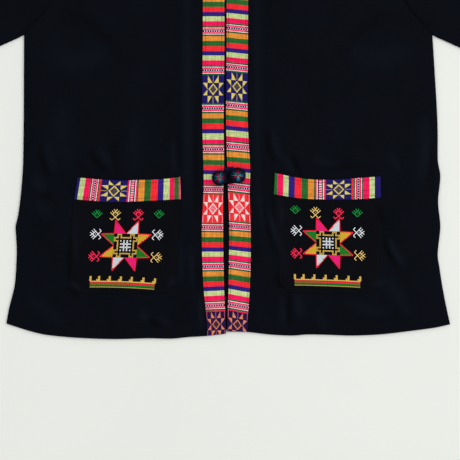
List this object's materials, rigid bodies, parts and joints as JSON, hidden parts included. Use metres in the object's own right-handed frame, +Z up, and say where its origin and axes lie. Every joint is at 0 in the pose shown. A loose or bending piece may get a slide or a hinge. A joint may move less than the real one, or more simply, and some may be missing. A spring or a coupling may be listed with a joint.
{
  "type": "hmong embroidered jacket",
  "caption": "Open-front black cotton jacket laid flat, with striped woven bands on its front edges and pocket mouths, and a looped pair of thread-covered buttons.",
  "frame": {"origin": "on the table, in the middle of the flat jacket's footprint", "axes": "+X to the viewer's right, which is the wearer's left; +Y from the hem to the neck; +Z up from the table, out of the fronts"},
  "size_m": [1.4136, 0.6401, 0.0127],
  "materials": {
    "black_cotton": "plain-woven cotton, matt",
    "pocket_cotton": "plain-woven cotton with cross-stitch embroidery",
    "woven_band": "striped woven band with brocade stars",
    "button_thread": "wound cotton yarn",
    "loop_cord": "twisted cotton cord"
  },
  "bodies": {
    "root": {"back": "black_cotton", "front_right": "black_cotton", "front_left": "black_cotton", "sleeve_right": "black_cotton", "sleeve_left": "black_cotton", "front_band_right": "woven_band", "front_band_left": "woven_band", "pocket_right": "pocket_cotton", "pocket_left": "pocket_cotton", "pocket_band_right": "woven_band", "pocket_band_left": "woven_band", "button_right": "button_thread", "button_left": "button_thread", "button_loop": "loop_cord"}
  },
  "joints": []
}
